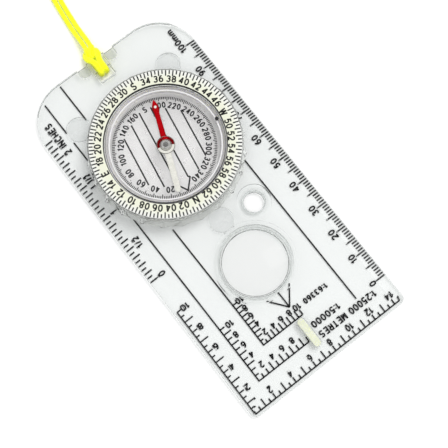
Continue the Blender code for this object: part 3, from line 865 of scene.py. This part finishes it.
def plate_helpers():
    """The solids joined to the slab and cut from it."""
    over, under = PLATE_TOP + 1, PLATE_BOTTOM - 1
    lip = 5.4
    collar = softened([
        (COLLAR_BORE, PLATE_TOP - 0.5), (COLLAR_R, PLATE_TOP - 0.5), (COLLAR_R, lip),
        (COLLAR_LIP_R, lip), (COLLAR_LIP_R, COLLAR_TOP), (COLLAR_BORE, COLLAR_TOP),
    ], 0.15)
    yield "UNION", place(turned("collar_helper", collar, 144), DIAL_AT)
    spigot, seat = LENS_SPIGOT_R + GAP, LENS_FLANGE_R + GAP
    lens = [
        (0, under), (spigot, under), (spigot, 1.7), (seat, 1.7), (seat, PLATE_TOP - 0.4),
        (LENS_DISH_R - 0.3, PLATE_TOP - 0.38), (LENS_DISH_R - 0.05, PLATE_TOP - 0.2),
        (LENS_DISH_R, over), (0, over),
    ]
    yield "DIFFERENCE", place(turned("lens_cutter", lens, 144), LENS_AT)
    hole = [
        (0, under), (HOLE_R, under), (HOLE_R, 1.5), (HOLE_R + 0.15, 1.9), (HOLE_R + 0.6, 2.5),
        (HOLE_RECESS_R - 0.5, 2.6), (HOLE_RECESS_R - 0.15, 2.75), (HOLE_RECESS_R, over), (0, over),
    ]
    yield "DIFFERENCE", place(turned("hole_cutter", hole, 96), HOLE_AT)
    low, high = node_box("luminous_strip")
    margin = 0.25
    recess = rounded_box_outline(
        (low.x - margin, low.y - margin), (high.x + margin, high.y + margin), 1.2
    )
    yield "DIFFERENCE", prism("strip_cutter", recess, low.z - GAP, over)
    for name in FEET:
        pad = ring_section(0, FOOT_R + GAP, under, FOOT_THICK + GAP)
        yield "DIFFERENCE", place(turned(name + "_cutter", pad, 72), node_middle(name).xy)
    slot = rounded_box_outline((-SLOT_HALF, SLOT_BACK), (SLOT_HALF, SLOT_FRONT), 0.5)
    yield "DIFFERENCE", prism("slot_cutter", slot, under, over)
    end, deep = -PLATE_Y - 1.0, SLOT_BACK + 0.6
    yield "DIFFERENCE", block("bar_under_cutter", (-BAR_HALF, end, -1), (BAR_HALF, deep, BAR_BOTTOM))
    yield "DIFFERENCE", block("bar_over_cutter", (-BAR_HALF, end, BAR_TOP), (BAR_HALF, deep, over))
    for side, name in ((1, "left"), (-1, "right")):
        x = side * POCKET_X
        shape = [(x - POCKET_HALF, end), (x + POCKET_HALF, end)]
        shape += arc((x, POCKET_END), POCKET_HALF, 0, 180, 20)
        yield "DIFFERENCE", prism(f"pocket_{name}_cutter", shape, POCKET_FLOOR, over)


def make_plate(clear, painted_slope_shade, rim, frosted):
    plate = combine(plate_slab(clear), list(plate_helpers()))
    inner_x = (PLATE_X - SIDE_SLOPE) * MM

    # Faces of the sloped edges, which get the painted shade.
    def on_slope(face):
        return 0.85 < face.normal.z < 0.99 and face.center.x > inner_x

    def in_pocket(face):
        spot = face.center / MM
        in_width = abs(abs(spot.x) - POCKET_X) < POCKET_HALF + 0.01
        return in_width and spot.y < POCKET_END + POCKET_HALF and 1.4 < spot.z < 2.7

    # Steep walls away from the collar, which get the painted shade.
    def on_rim(face):
        from_dial = (face.center.xy / MM - DIAL_AT).length
        return abs(face.normal.z) < 0.7 and from_dial > COLLAR_LIP_R + 0.5

    split_by_face(plate, painted_slope_shade, on_slope)
    split_by_face(plate, rim, on_rim)
    split_by_face(plate, frosted, in_pocket)
    shade_round(plate, 11.0)
    finish_piece(plate, "baseplate", "clear_acrylic", "baseplate")


def finish_piece(obj, body, slot=None, *nodes):
    """Hides the CAD nodes a piece stands in for and parents it to the body it moves with; slot is not used.
    """
    if nodes:
        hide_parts(*nodes)
    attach(obj, body)
    return obj


def make_lens(clear, edge):
    """A thick plano-convex lens with a stepped flange."""
    dome_r = LENS_SPIGOT_R + 0.6
    profile = [
        (0, 0.9), (LENS_SPIGOT_R - 0.2, 0.9), (LENS_SPIGOT_R, 1.1), (LENS_SPIGOT_R, 1.9),
        (LENS_SPIGOT_R + 0.1, 2.0), (LENS_FLANGE_R - 0.1, 2.0), (LENS_FLANGE_R, 2.1),
        (LENS_FLANGE_R, 2.8), (LENS_FLANGE_R - 0.1, 2.9), (dome_r + 0.45, 2.92), (dome_r + 0.2, 3.0),
    ]
    steps = 40
    for k in range(steps + 1):
        r = dome_r * (1 - k / steps)
        profile.append((r, LENS_SHOULDER + LENS_SAG * (1 - (r / dome_r) ** 2)))
    lens = place(turned("lens_clear", profile, 160, clear, smooth=25.0), LENS_AT)
    # The steep faces get a slightly darker copy of the lens's acrylic: painted shade that outlines the
    # lens's rings.
    split_by_face(lens, edge, lambda face: abs(face.normal.z) < 0.7)
    finish_piece(lens, "baseplate", "clear_acrylic", "magnifier_lens")


def make_feet(silicone):
    profile = softened(ring_section(0, FOOT_R, 0.02, FOOT_THICK), 0.22)
    for name in FEET:
        foot = place(turned(name + "_soft", profile, 72, silicone), node_middle(name).xy)
        finish_piece(foot, "baseplate", "clear_silicone", name)


def make_strip(luminous):
    low, high = node_box("luminous_strip")
    outline = rounded_box_outline(low.xy, high.xy, 1.0, 8)
    strip = prism("strip_luminous", outline, low.z, high.z, luminous, soft=0.15, smooth=40.0)
    finish_piece(strip, "baseplate", "luminous_plastic", "luminous_strip")


def scalloped(radius, height, angle):
    """Finger flutes with ridges between them, shallow at the top edge and full lower down."""
    if radius < BEZEL_TOP_R - 0.25:
        return radius
    fade = min(1.0, 0.35 + 0.65 * max(0.0, BEZEL_TOP - height) / 2.5)
    wave = abs(math.sin(SCALLOPS * angle / 2))
    ridge = 1.0 - (1.0 - wave) ** 1.5
    return radius - SCALLOP_DEPTH * fade * ridge


def make_bezel(clear, painted_shadow):
    skirt_in, lip_bottom = 22.9, BAND_SEAT - 0.3
    profile = softened([
        (BEZEL_INNER_R, lip_bottom), (BEZEL_INNER_R, BAND_SEAT), (19.85, BAND_SEAT),
        (24.5, BAND_SEAT), (24.55, BEZEL_TOP), (BEZEL_TOP_R, BEZEL_TOP), (25.3, 9.0),
        (BEZEL_FOOT_R, 4.5), (BEZEL_FOOT_R - 0.15, BEZEL_BOTTOM), (24.6, BEZEL_BOTTOM),
        (23.9, 10.0), (skirt_in, 10.0), (skirt_in, BEZEL_BOTTOM), (21.3, BEZEL_BOTTOM),
        (21.3, 4.2), (22.2, 4.2), (22.2, 5.3), (21.4, 5.3), (21.4, CUP_BOTTOM),
        (BEZEL_INNER_R, CUP_BOTTOM),
    ], 0.18)
    bezel = turned("bezel_clear", profile, SCALLOPS * 16, clear, radius_at=scalloped, smooth=40.0)

    # The inner lip under the band gets the painted shadow finish.
    def on_lip(face):
        return face.center.xy.length < 19.9 * MM and face.center.z > lip_bottom * MM

    split_by_face(bezel, painted_shadow, on_lip)
    place(bezel, DIAL_AT, DIAL_TURN)
    finish_piece(bezel, "capsule", "clear_acrylic", "bezel_ring")


def outward(face):
    """How far a face of a turned piece looks away from its axis, from -1 to 1."""
    return face.normal.xy.dot(face.center.xy.normalized())


def make_band(luminous, edge):
    profile = softened(ring_section(BAND_INNER_R, BAND_OUTER_R, BAND_SEAT + 0.1, BAND_TOP), 0.08)
    band = place(turned("band_luminous", profile, 192, luminous), DIAL_AT, DIAL_TURN)
    # The band's inner wall gets the painted shadow finish.
    split_by_face(band, edge, lambda face: outward(face) < -0.6)
    finish_piece(band, "capsule", "luminous_plastic", "luminous_band")


def make_cup(clear, wall, painted_shadow, milky):
    """The capsule's cup: a frosted floor, a clear wall with a faint painted shade, and a painted shadow
    band at its top under the dome.
    """
    rim_start = CUP_RIM - RIM_SHADOW
    profile = softened([
        (0, CUP_BOTTOM), (CUP_R, CUP_BOTTOM), (CUP_R, rim_start), (CUP_R, CUP_RIM),
        (18.5, CUP_RIM), (18.5, 9.5), (17.9, 9.5), (17.9, CUP_FLOOR), (1.8, CUP_FLOOR),
        (1.5, 8.75), (0.8, 8.75), (0.8, 7.6), (0, 7.6),
    ], 0.2)
    cup = place(turned("cup_clear", profile, 192, clear), DIAL_AT, DIAL_TURN)

    def on_floor(face):
        return face.normal.z > 0.9 and face.center.z < (CUP_FLOOR + 0.1) * MM

    split_by_face(cup, milky, on_floor)
    # The outer wall gets a slightly darker tint, a faint painted shade, and its top, under the dome, the
    # painted shadow finish.
    for finish, high in ((wall, False), (painted_shadow, True)):
        split_by_face(
            cup, finish,
            lambda face: outward(face) > 0.6 and (face.center.z >= rim_start * MM) == high,
        )
    finish_piece(cup, "capsule", "clear_acrylic", "capsule_body")


def make_dome(clear, painted_shadow):
    profile = softened([
        (0, 11.2), (8.0, 11.12), (16.5, 10.8), (CUP_R, 10.8), (CUP_R, 11.2), (18.7, 11.5),
        (17.0, 11.8), (14.0, 11.98), (10.0, 12.15), (5.0, 12.27), (0, DOME_TOP),
    ], 0.15, 4)
    dome = place(turned("dome_clear", profile, 192, clear), DIAL_AT, DIAL_TURN)
    spot = node_middle("filler_plug")
    hole = turned("filler_hole_cutter", ring_section(0, 0.75, 10, 12.5), 32)
    combine(dome, [("DIFFERENCE", place(hole, spot.xy))])

    # The dome's rim wall gets the painted shadow finish.
    def on_rim(face):
        return outward(face) > 0.6 and face.center.xy.length > 18.9 * MM

    split_by_face(dome, painted_shadow, on_rim)
    shade_round(dome)
    finish_piece(dome, "capsule", "clear_acrylic", "capsule_dome")


def make_plug(rubber):
    profile = softened([(0, 10.9), (0.55, 10.9), (0.62, 11.75), (0, 11.85)], 0.15)
    plug = place(turned("plug_rubber", profile, 40, rubber), node_middle("filler_plug").xy)
    finish_piece(plug, "capsule", "plug_rubber", "filler_plug")


def make_seal(rubber):
    middle, thick = (17.95, 10.15), 0.6
    profile = arc(middle, thick / 2, 360, 15, 23)
    seal = place(turned("seal_ring", profile, 160, rubber, smooth=80.0), DIAL_AT)
    finish_piece(seal, "capsule", "seal_rubber", "capsule_seal")


def make_needle(red, white, mark, chrome):
    """Red and white halves of the strip, the hub disc with its red arc, and the domed cap."""
    start = 2.2
    east = [(0.92, start), (0.8096, 11.0), (1.25, 12.5), (0.72, 14.3)]
    north = east + [(0, NORTH_REACH)] + [(-x, y) for x, y in east[::-1]]
    end = 0.95
    south = arc((0, end - SOUTH_REACH), end, 180, 360, 14) + [(1.05, -start), (-1.05, -start)]
    for name, outline, finish, slot, nodes in (
        ("needle_red", north, red, "needle_enamel", ["needle_blade"]),
        ("needle_white", south, white, "needle_hub", []),
    ):
        half = prism(name, outline, BLADE_BOTTOM + 0.02, BLADE_TOP, finish, soft=0.07, smooth=30.0)
        finish_piece(place(half, DIAL_AT, NEEDLE_TURN), "needle", slot, *nodes)

    section = softened(ring_section(1.0, HUB_R, BLADE_BOTTOM, BLADE_TOP + 0.05), 0.06)
    disc = place(turned("needle_hub_disc", section, 72, white), DIAL_AT, NEEDLE_TURN)
    finish_piece(disc, "needle", "needle_hub")
    level = BLADE_TOP + 0.06
    half_sweep = 100.0
    section = ring_section(1.95, 2.78, level, level + 0.07)
    c_arc = turned("needle_hub_arc", section, 60, red, sweep=2 * half_sweep)
    finish_piece(place(c_arc, DIAL_AT, NEEDLE_TURN + 90 - half_sweep), "needle", "needle_enamel")
    for name, radius in (("needle_ring_inner", 1.86), ("needle_ring_outer", 2.9)):
        section = ring_section(radius - 0.06, radius + 0.06, level, level + 0.04)
        finish_piece(place(turned(name, section, 72, mark), DIAL_AT), "needle", "needle_hub")

    under, over = BLADE_TOP + 0.01, BLADE_TOP + 0.07
    dot = turned("needle_dot", [(0, under), (0.46, under), (0.44, level), (0, over)], 40, white)
    a = math.radians(NEEDLE_TURN + 90)
    dot_at = DIAL_AT + 13.1 * Vector((math.cos(a), math.sin(a)))
    finish_piece(place(dot, dot_at), "needle", "needle_hub")
    profile = softened([
        (0, 10.5), (0.8, 10.5), (0.8, 9.8), (1.7, 9.8), (1.68, 10.1), (1.45, 10.5), (1.0, 10.75),
        (0, 10.85),
    ], 0.2, 4)
    cap = place(turned("hub_cap_chrome", profile, 72, chrome), DIAL_AT)
    finish_piece(cap, "needle", "spring_steel", "hub_cap")


def coil_route(bottom, top):
    """Turns inward along the bottom layer, a rise, then turns outward on top, clockwise from +X."""
    points = []
    turns_in, rise_turns, turns_all = 3.0, 0.3, 6.5
    per_turn = 24
    for k in range(1, int(turns_all * per_turn) + 1):
        t = k / per_turn
        radius, height = COIL_INNER_TURN_R, top
        if t < turns_in:
            radius, height = COIL_START_R - TURN_PITCH * t, bottom
        elif t < turns_in + rise_turns:
            share = (t - turns_in) / rise_turns
            height = bottom + (top - bottom) * share * share * (3 - 2 * share)
        else:
            radius = COIL_INNER_TURN_R + TURN_PITCH * (t - turns_in - rise_turns)
        angle = -math.tau * t
        off_tie = (math.degrees(angle) - TIE_TURN + 180.0) % 360.0 - 180.0
        height += TIE_LIFT * math.exp(-((off_tie / TIE_SPREAD) ** 2))
        x, y = COIL_AT[0] + radius * math.cos(angle), COIL_AT[1] + radius * math.sin(angle)
        points.append(Vector((x, y, height)))
    return points


def strand_path(name, bottom, top, ending):
    """The whole strand: its stretch along the listed route, the coil, and the lead into the end knot."""
    laid = smooth_route(STRAND_ROUTES[name], 2.0)
    into = [Vector((-2.9, -100.2, bottom))]
    return laid + into + coil_route(bottom, top) + [Vector(p) for p in ending]


def make_hitch(cord):
    """A cow hitch: both standing parts cross its bight, dive behind the bar and return over it."""
    leg_a = [
        (0.30, -66.3, 3.62), (0.58, -65.3, 3.92), (0.80, -64.2, 3.45), (0.86, -63.45, 2.3),
        (0.90, -62.7, 1.15), (0.93, -61.2, 0.88), (0.95, -59.5, 0.88), (0.98, -58.1, 1.0),
        (0.98, -57.0, 1.9), (0.95, -57.1, 3.2), (0.90, -58.3, 3.88), (0.95, -60.1, 3.95),
        (1.35, -61.6, 3.9), (2.05, -63.2, 3.5), (1.95, -64.6, 2.8), (1.0, -65.6, 2.35),
    ]
    leg_b = [(-x, y, z) for x, y, z in leg_a[2:]]
    leg_b = [(-1.60, -66.3, 3.62), (-1.22, -65.3, 3.92)] + leg_b
    route = leg_a + [(0.0, -65.8, 2.3)] + leg_b[::-1]
    hitch = tube("hitch_cord", route, HITCH_R, cord, relief=braid)
    return finish_piece(hitch, "baseplate", "lanyard_cord", "lanyard_hitch")


def make_knot(cord):
    """A tightened overhand knot with two short sealed tails."""
    route = []
    for k in range(49):
        t = math.tau * k / 48
        route.append((
            0.62 * (math.sin(t) + 2 * math.sin(2 * t)), 0.8 * (math.cos(t) - 2 * math.cos(2 * t)),
            2.5 - 1.5 * math.sin(3 * t),
        ))
    knot = tube("knot_cord", route, 0.92, cord, relief=braid, closed=True)
    place(knot, KNOT_AT, KNOT_TURN)
    pieces = [finish_piece(knot, "baseplate", "lanyard_cord", "lanyard_end_knot")]
    for side, name in ((1, "knot_tail_a"), (-1, "knot_tail_b")):
        tail = [(0.6, 0.8, 2.6), (0.9, 2.0, 2.2), (1.05, 3.1, 1.5), (1.1, 3.3, 1.1)]
        end = tube(name, [(side * x, y, z) for x, y, z in tail], CORD_R, cord, relief=braid)
        place(end, KNOT_AT, KNOT_TURN)
        pieces.append(finish_piece(end, "baseplate", "lanyard_cord"))
    return pieces


def make_tie(wire):
    """Two wraps of coated wire round the coil's section and its twisted ends on top."""
    wire_r = 0.28
    inner, outer, low, high = 5.25, 12.95, wire_r + 0.05, 7.35
    pieces = []
    for name, across in (("tie_wrap_a", -0.35), ("tie_wrap_b", 0.35)):
        outline = rounded_box_outline((inner, low), (outer, high), 1.3, 5)
        loop = [(r, across, z) for r, z in outline + outline[:1]]
        pieces.append(tube(name, loop, wire_r, wire, step=0.3, sides=16, closed=True))
    for name, phase in (("tie_twist_a", 0.0), ("tie_twist_b", math.pi)):
        twist = []
        for k in range(40):
            a = phase + 0.62 * k
            twist.append((9.0 + 0.16 * k, 0.3 * math.cos(a), high + 0.55 + 0.3 * math.sin(a)))
        pieces.append(tube(name, twist, wire_r, wire, step=0.2, sides=12))
    for piece in pieces:
        place(piece, COIL_AT, TIE_TURN)
        finish_piece(piece, "baseplate", "tie_wire")
    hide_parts("coil_tie")
    return pieces


def make_lanyard(cord, wire):
    extras = [make_hitch(cord)] + make_knot(cord) + make_tie(wire)
    plans = {
        "lanyard_strand_a": (0.85, 4.05, [
            (-26.35, -101.6, 4.0), (-26.7, -99.7, 3.6), (-27.2, -97.9, 3.0)], ["lanyard_coil"]),
        "lanyard_strand_b": (2.45, 5.65, [
            (-26.3, -101.4, 5.4), (-27.2, -99.3, 4.7), (-28.3, -97.6, 3.6)], []),
    }
    for name, (bottom, top, ending, hidden) in plans.items():
        path = strand_path(name, bottom, top, ending)
        strand = tube(name.replace("lanyard_", "") + "_cord", path, CORD_R, cord, relief=braid)
        length = sum((q - p).length for p, q in zip(path, path[1:])) * MM
        finish_piece(strand, "baseplate", "lanyard_cord", name, *hidden)


def finish_kept_nodes(steel, nylon, jewel):
    for name, finish in (
        ("friction_washer", nylon), ("retaining_ring", steel), ("pivot_post", steel),
        ("jewel_bearing", jewel),
    ):
        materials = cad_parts[name].data.materials
        materials.clear()
        materials.append(finish)


# ---------------------------------------------------------------- stage


def add_lamp(kind, name, power, towards, at=(0.0, 0.0, 0.0)):
    """A lamp that points along a direction and is not seen through clear pieces."""
    light = bpy.data.lights.new(name, kind)
    light.energy = power
    lamp = bpy.data.objects.new(name, light)
    lamp.location = at
    lamp.rotation_euler = Vector(towards).to_track_quat("-Z", "Y").to_euler()
    lamp.visible_transmission = False
    bpy.context.scene.collection.objects.link(lamp)
    return lamp


def make_stage():
    """A plain pale floor, soft overhead light, and a broad key from the millimetre-scale side."""
    made, tree, shader = new_material("floor_paper")
    low_grey, high_grey = greys(0.895, 0.905)
    add_colour(tree, shader, noise_node(tree, 60.0, 3.0), [(0.3, low_grey), (0.7, high_grey)])
    set_inputs(shader, {"Roughness": 0.95, "Specular IOR Level": 0.1})
    half, level = 2500.0, -0.03
    block("floor", (-half, -half, level - 5), (half, half, level), made)

    world = bpy.data.worlds.new("soft_studio")
    bpy.context.scene.world = world
    world.use_nodes = True
    sky = world.node_tree
    split = sky.nodes.new("ShaderNodeSeparateXYZ")
    where = sky.nodes.new("ShaderNodeTexCoord")
    sky.links.new(where.outputs["Generated"], split.inputs["Vector"])
    tone = ramp_node(sky, split.outputs["Z"], [
        (0.0, (0.20, 0.20, 0.20)), (0.4, (0.52, 0.525, 0.525)), (0.72, (0.68, 0.68, 0.68)),
        (0.88, (0.34, 0.34, 0.34)), (0.95, (0.07, 0.07, 0.07)), (1.0, (0.05, 0.05, 0.05)),
    ])
    background = sky.nodes["Background"]
    sky.links.new(tone, background.inputs["Color"])
    set_inputs(background, {"Strength": 0.8})
    world.cycles.sampling_method = "NONE"

    for name, towards, power, spread in (
        ("key_sun", (0.42, 0.05, -1.0), 1.3, 24.0), ("top_sun", (-0.10, -0.12, -1.0), 1.4, 50.0),
    ):
        lamp = add_lamp("SUN", name, power, towards)
        lamp.data.angle = math.radians(spread)
        lamp.data.cycles.use_multiple_importance_sampling = False
        lamp.visible_glossy = False
    for name, at, size, power in (
        ("softbox_right", (-0.55, 0.05, 0.75), (0.34, 0.70), 0.5),
        ("softbox_left", (0.50, 0.45, 0.80), (0.26, 0.60), 0.35),
    ):
        lamp = add_lamp("AREA", name, power, -Vector(at), at)
        lamp.data.shape = "RECTANGLE"
        lamp.data.size, lamp.data.size_y = size
        lamp.visible_camera = False
    bpy.context.scene.view_settings.view_transform = "Standard"


def make_camera():
    data = bpy.data.cameras.new("camera")
    data.sensor_width = 36.0
    data.lens = 82.65
    data.clip_start = 0.01
    camera = bpy.data.objects.new("camera", data)
    bpy.context.scene.collection.objects.link(camera)
    forward = Vector((-0.12282, -0.15538, -0.98019)).normalized()
    right = forward.cross(Vector((-0.60036, -0.77482, 0.19805))).normalized()
    up = right.cross(forward)
    turn = Matrix((right, up, -forward)).transposed()
    camera.matrix_world = Matrix.Translation(Vector((40.70, 59.19, 325.86)) * MM) @ turn.to_4x4()
    bpy.context.scene.camera = camera


def main():
    make_camera()
    cord = cord_material("cord_fluorescent")
    wire = mottled("tie_wire_coat", greys(0.02, 0.035), (0.35, 0.5), 900.0)
    make_lanyard(cord, wire)

    # Painted shadow: a near-black finish for the shade in the gap round the capsule, put on the cup's and
    # dome's rims, the bezel's lip and the band's inner wall.
    rim = mottled("cup_rim_shadow", greys(0.03, 0.05), (0.3, 0.5), 700.0)
    make_plate(
        clear_material("plate_acrylic", (0.985, 0.995, 0.99), (0.947, 0.954, 0.951)),
        # A slightly darker copy of the plate's acrylic for the slopes: painted shade for the light the
        # sloped edges turn away.
        clear_material("plate_slope_acrylic", (0.972, 0.982, 0.978), (0.945, 0.952, 0.95)),
        # A dark grey, half opaque copy of the acrylic for the steep walls: painted shade that draws the
        # plate's edges and the walls of its holes as grey lines.
        clear_material("plate_rim_acrylic", (0.70, 0.73, 0.72), (0.45, 0.47, 0.46), (0.2, 0.3), weight=0.5),
        clear_material("pocket_acrylic", (0.80, 0.82, 0.77), (0.80, 0.81, 0.78), (0.15, 0.25)),
    )
    make_lens(
        clear_material("lens_acrylic", (0.985, 0.99, 0.99), (0.93, 0.935, 0.93), (0.0, 0.02), wave=0.04),
        # Painted shade for the lens's steep faces.
        clear_material("lens_edge_acrylic", (0.96, 0.97, 0.965), (0.94, 0.95, 0.94), (0.05, 0.12)),
    )
    make_feet(clear_material(
        "foot_silicone", (0.98, 0.985, 0.985), (0.975, 0.975, 0.975), (0.2, 0.35), ior=1.41
    ))
    make_strip(mottled(
        "luminous_yellow", [(0.70, 0.73, 0.57), (0.75, 0.77, 0.63)], (0.35, 0.5), 700.0, below=0.3
    ))
    make_bezel(
        clear_material("bezel_acrylic", (0.99, 0.993, 0.978), (0.985, 0.988, 0.98), (0.02, 0.06)),
        rim,
    )
    make_band(band_material("band_luminous_plastic"), rim)
    make_cup(
        clear_material("cup_acrylic", (0.995, 0.99, 0.992), (0.99, 0.988, 0.989), ior=1.08, wave=0.02),
        # A slightly darker, pinker copy of the cup's acrylic for its outer wall: faint painted shade.
        clear_material("cup_wall_acrylic", (0.97, 0.955, 0.955), (0.98, 0.98, 0.98), ior=1.08, wave=0.02),
        rim,
        clear_material(
            "dial_floor_acrylic", (0.985, 0.968, 0.963), (0.995, 0.993, 0.993), (0.25, 0.35),
            ior=1.08, wave=0.02, weight=0.7,
        ),
    )
    make_dome(
        clear_material(
            "dome_acrylic", (0.995, 0.99, 0.992), (0.99, 0.988, 0.989), (0.0, 0.02), ior=1.2,
            wave=0.02,
        ),
        rim,
    )
    make_plug(mottled("rubber_black", [(0.012, 0.012, 0.013), (0.03, 0.03, 0.03)], (0.4, 0.6), 900.0))
    make_seal(mottled("seal_grey", greys(0.82, 0.88), (0.4, 0.5), 700.0))
    ink = mottled("black_ink", [(0.008, 0.008, 0.009), (0.02, 0.02, 0.022)], (0.5, 0.7), 1500.0)
    make_needle(
        needle_red("needle_red_enamel"),
        mottled("needle_white_enamel", [(0.66, 0.66, 0.60), (0.74, 0.74, 0.68)], (0.3, 0.45), 900.0),
        ink,
        mottled(
            "hub_chrome", [(0.72, 0.72, 0.69), (0.86, 0.86, 0.83)], (0.08, 0.16), 1200.0,
            metallic=0.85,
        ),
    )
    finish_kept_nodes(
        mottled(
            "spring_steel", [(0.50, 0.50, 0.51), (0.62, 0.62, 0.63)], (0.22, 0.38), 800.0,
            metallic=1.0,
        ),
        mottled("nylon_white", [(0.84, 0.83, 0.82), (0.90, 0.89, 0.88)], (0.4, 0.55), 500.0, below=0.2),
        mottled(
            "jewel_sapphire", [(0.55, 0.60, 0.75), (0.68, 0.72, 0.85)], (0.05, 0.12), 2500.0,
            coat=1.0,
        ),
    )

    for name, painter in (
        ("print_mm_scale", print_mm_scale), ("print_inch_scale", print_inch_scale),
        ("print_roamers", print_roamers), ("print_lines", print_lines),
    ):
        finish_piece(printed(name, ink, PLATE_BOTTOM - 0.06, painter), "baseplate")
    mils = place(printed("print_mil_ring", ink, BAND_TOP + 0.005, print_mil_ring), DIAL_AT, MIL_TURN)
    finish_piece(mils, "capsule")
    floor_print = printed(
        "print_dial_floor", ink, CUP_FLOOR + 0.01, print_degree_ring, print_meridians
    )
    finish_piece(place(floor_print, DIAL_AT, FLOOR_TURN), "capsule")
    make_stage()


main()
